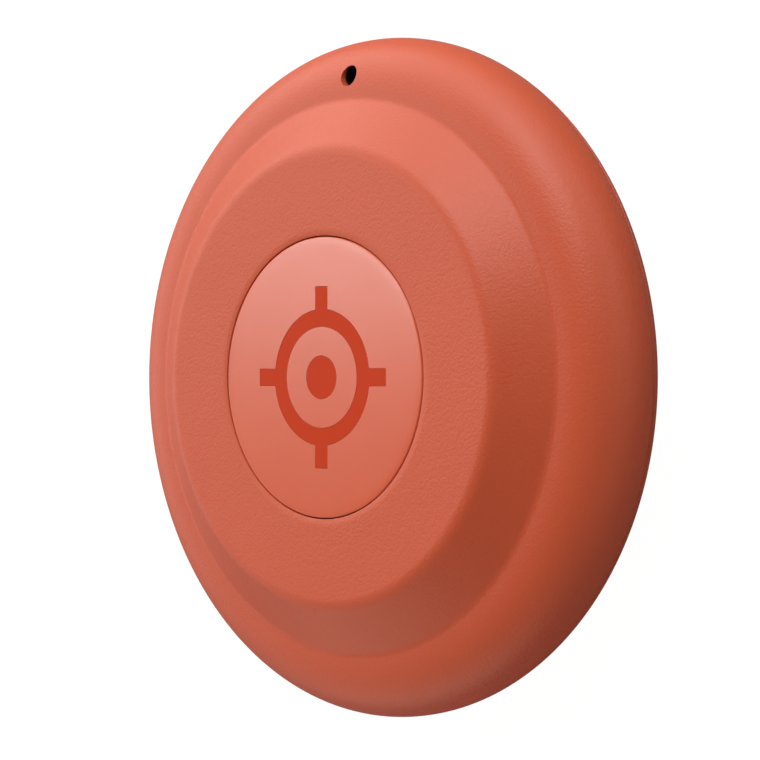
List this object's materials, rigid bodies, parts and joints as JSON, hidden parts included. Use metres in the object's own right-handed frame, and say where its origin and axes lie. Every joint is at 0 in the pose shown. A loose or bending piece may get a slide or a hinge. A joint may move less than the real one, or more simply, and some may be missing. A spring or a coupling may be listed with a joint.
{
  "type": "wireless tracker tag",
  "caption": "Round plastic tracker tag with a raised round boss, a flush push button in it and a small sound port near the rim; its two halves clip together over a coin cell.",
  "frame": {"origin": "middle of the flat back face, the face that the tag lies on", "axes": "+Z out of the back through the thickness and out of the push button; +Y from the centre towards the sound port; +X to the right seen from the front"},
  "size_m": [0.032, 0.032, 0.008],
  "materials": {
    "shell_plastic": "fine irregular leather-like grain, satin",
    "button_plastic": "smooth satin",
    "mark_plastic": "smooth satin",
    "frame_plastic": "moulded, fine spark finish",
    "black_plastic": "moulded, matt",
    "silicone": "soft, matt",
    "dark_rubber": "matt",
    "foam": "fine closed-cell foam",
    "stainless_steel": "brushed",
    "nickel": "satin nickel plate",
    "gold_contact": "thin gold plate over spring metal",
    "copper": "bare copper",
    "circuit_board": "green solder mask with tracks and pads",
    "ceramic": "fired ceramic with tinned ends",
    "cathode_mix": "pressed powder",
    "lithium": "dull soft metal",
    "fleece": "thin non-woven felt"
  },
  "bodies": {
    "back_cover": {"back_cover": "shell_plastic", "rim_seal": "dark_rubber", "cell_pad": "foam"},
    "coin_cell": {"cell_can": "nickel", "cell_gasket": "black_plastic", "cell_cap": "stainless_steel", "cell_cathode": "cathode_mix", "cell_separator": "fleece", "cell_anode": "lithium"},
    "case": {"antenna": "copper", "antenna_feed": "gold_contact", "battery_frame": "frame_plastic", "bulk_capacitor": "ceramic", "clock_crystal": "nickel", "filter_capacitor_1": "ceramic", "filter_capacitor_2": "ceramic", "filter_capacitor_3": "ceramic", "front_shell": "shell_plastic", "guard_diode": "black_plastic", "main_board": "circuit_board", "memory_chip": "black_plastic", "negative_contact": "gold_contact", "port_gasket": "foam", "port_mesh": "black_plastic", "positive_contact": "gold_contact", "power_inductor": "dark_rubber", "radio_chip": "black_plastic", "return_ring": "silicone", "screw_1": "stainless_steel", "screw_2": "stainless_steel", "screw_3": "stainless_steel", "shield_can": "stainless_steel", "sounder_case": "black_plastic", "sounder_coil": "copper", "sounder_diaphragm": "nickel", "sounder_lid": "black_plastic", "sounder_magnet": "stainless_steel", "supply_capacitor": "ceramic", "switch_base": "black_plastic", "switch_dome": "stainless_steel", "timing_crystal": "nickel", "tuning_coil": "dark_rubber"},
    "button": {"button_cap": "button_plastic", "button_plunger": "silicone", "mark_ring": "mark_plastic", "mark_dot": "mark_plastic"}
  },
  "joints": [
    {"name": "cell_lift", "type": "slide", "parent": "back_cover", "child": "coin_cell", "axis": [0, 0, 1], "range_m": [0, 0.003]},
    {"name": "case_lift", "type": "slide", "parent": "coin_cell", "child": "case", "axis": [0, 0, 1], "range_m": [0, 0.006]},
    {"name": "button_press", "type": "slide", "parent": "case", "child": "button", "axis": [0, 0, -1], "range_m": [0, 0.00025], "stiffness_N_per_m": 800, "deforming": ["return_ring", "switch_dome"]}
  ]
}
